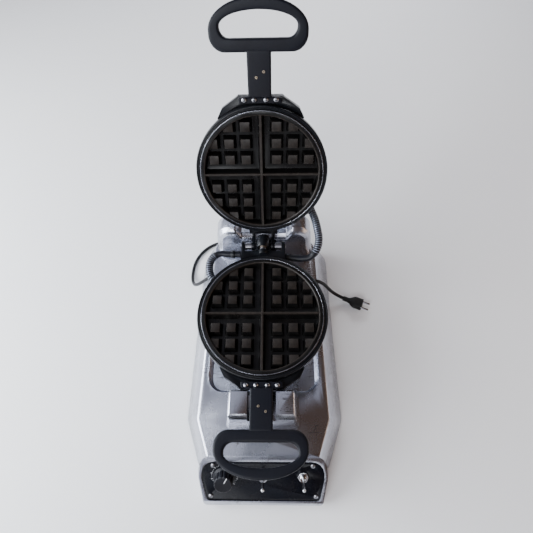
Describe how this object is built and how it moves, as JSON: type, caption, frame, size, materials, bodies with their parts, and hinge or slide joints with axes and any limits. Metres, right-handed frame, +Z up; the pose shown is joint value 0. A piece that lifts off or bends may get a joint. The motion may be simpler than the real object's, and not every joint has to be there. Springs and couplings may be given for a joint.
{
  "type": "waffle maker",
  "caption": "Rotary waffle iron on a cast base: hinged lid and lower half with studded grid plates, loop handles, sloping control panel, rear bearing tower and mains lead.",
  "frame": {"origin": "on the table under the middle of the part's box without its lead", "axes": "+Z up, -Y the front with the control panel and the lower handle, X across"},
  "size_m": [0.3657, 0.57, 0.4621],
  "materials": {
    "cast_silver": "silver hammer-smooth paint on a casting",
    "pan_silver": "polished pressed sheet",
    "rim_black": "black heat-proof enamel",
    "plate_black": "seasoned non-stick coating",
    "handle_black": "moulded phenolic",
    "panel_black": "satin black paint",
    "knob_black": "moulded plastic",
    "chrome": "plated",
    "steel": "plain steel",
    "rubber": "moulded rubber",
    "conduit": "ribbed sleeve",
    "cord_black": "smooth jacket",
    "brass": "turned bush"
  },
  "bodies": {
    "base": {"base_housing": "cast_silver", "bearing_bracket": "rim_black", "bearing_bush": "brass", "bottom_cover": "steel", "control_panel": "panel_black", "cord_coil": "cord_black", "cord_gland": "rubber", "cord_lead": "cord_black", "cord_tail": "cord_black", "foot_front_left": "rubber", "foot_front_right": "rubber", "foot_rear_left": "rubber", "foot_rear_right": "rubber", "front_cradle": "cast_silver", "panel_screw_1": "steel", "panel_screw_2": "steel", "panel_screw_3": "steel", "panel_screw_4": "steel", "power_plug": "rubber", "rear_tower": "cast_silver", "thermostat": "steel", "toggle_nut_centre": "chrome", "toggle_nut_right": "chrome", "toggle_switch_centre": "chrome", "toggle_switch_right": "chrome"},
    "iron": {"flip_shaft": "steel", "hinge_pin_left": "chrome", "hinge_pin_right": "chrome", "hinge_spacer_left": "chrome", "hinge_spacer_right": "chrome", "hinge_yoke": "rim_black", "lid_conduit": "conduit", "lid_conduit_yoke_ferrule": "steel", "lower_bracket_screw_1": "steel", "lower_bracket_screw_2": "steel", "lower_bracket_screw_3": "steel", "lower_bracket_screw_4": "steel", "lower_casing": "pan_silver", "lower_conduit": "conduit", "lower_conduit_case_ferrule": "steel", "lower_conduit_yoke_ferrule": "steel", "lower_grid_plate": "plate_black", "lower_handle": "handle_black", "lower_handle_bracket": "rim_black", "lower_heating_element": "steel", "lower_rim": "rim_black"},
    "lid": {"lid_bracket_screw_1": "steel", "lid_bracket_screw_2": "steel", "lid_bracket_screw_3": "steel", "lid_bracket_screw_4": "steel", "lid_casing": "pan_silver", "lid_grid_plate": "plate_black", "lid_handle": "handle_black", "lid_handle_bracket": "rim_black", "lid_heating_element": "steel", "lid_hinge_arms": "rim_black", "lid_rim": "rim_black"},
    "knob": {"thermostat_knob": "knob_black"},
    "toggle_centre": {"toggle_lever_centre": "chrome"},
    "toggle_right": {"toggle_lever_right": "chrome"}
  },
  "joints": [
    {"name": "iron_flip", "type": "hinge", "parent": "base", "child": "iron", "pos_m": [0, -0.0179, 0.162], "axis": [0, 1, 0], "range_deg": [-10, 10]},
    {"name": "lid_hinge", "type": "hinge", "parent": "iron", "child": "lid", "pos_m": [0, 0.1067, 0.1525], "axis": [1, 0, 0], "range_deg": [0, 116.4], "deforming": ["lid_conduit"]},
    {"name": "thermostat_turn", "type": "hinge", "parent": "base", "child": "knob", "pos_m": [-0.059, -0.24146, 0.05105], "axis": [0, -0.6428, 0.766], "range_deg": [-210, 60]},
    {"name": "toggle_centre_flick", "type": "hinge", "parent": "base", "child": "toggle_centre", "pos_m": [0, -0.24416, 0.05427], "axis": [1, 0, 0], "range_deg": [-26, 0]},
    {"name": "toggle_right_flick", "type": "hinge", "parent": "base", "child": "toggle_right", "pos_m": [0.0615, -0.24416, 0.05427], "axis": [1, 0, 0], "range_deg": [-26, 0]}
  ]
}
